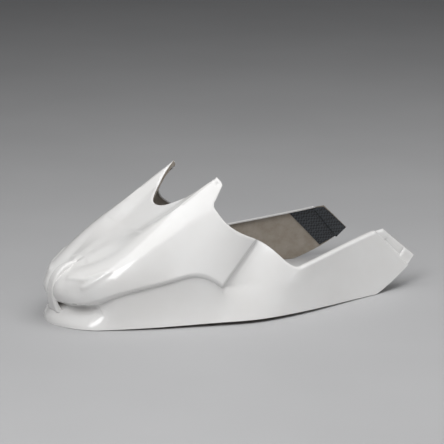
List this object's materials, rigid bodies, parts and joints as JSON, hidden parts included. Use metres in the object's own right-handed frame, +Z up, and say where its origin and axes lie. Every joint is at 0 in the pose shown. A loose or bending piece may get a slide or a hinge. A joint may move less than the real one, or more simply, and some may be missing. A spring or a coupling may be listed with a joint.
{
  "type": "motorcycle tank cover",
  "caption": "One-piece moulded tank cover with a ribbed pointed nose, twin horns around a filler notch, side pods and long rear legs ending in stepped tabs.",
  "frame": {"origin": "on the floor under the middle of the shell's bounding box, level with its lowest edge", "axes": "+X from the nose to the tail, +Y to the rider's right, +Z up as the cover stands on its lower edge"},
  "size_m": [0.6464, 0.3536, 0.2257],
  "materials": {
    "gelcoat": "gloss",
    "woven_patch": "satin"
  },
  "bodies": {
    "root": {"tank_cover_shell": "gelcoat", "leg_patch_left": "woven_patch", "leg_patch_right": "woven_patch"}
  },
  "joints": []
}
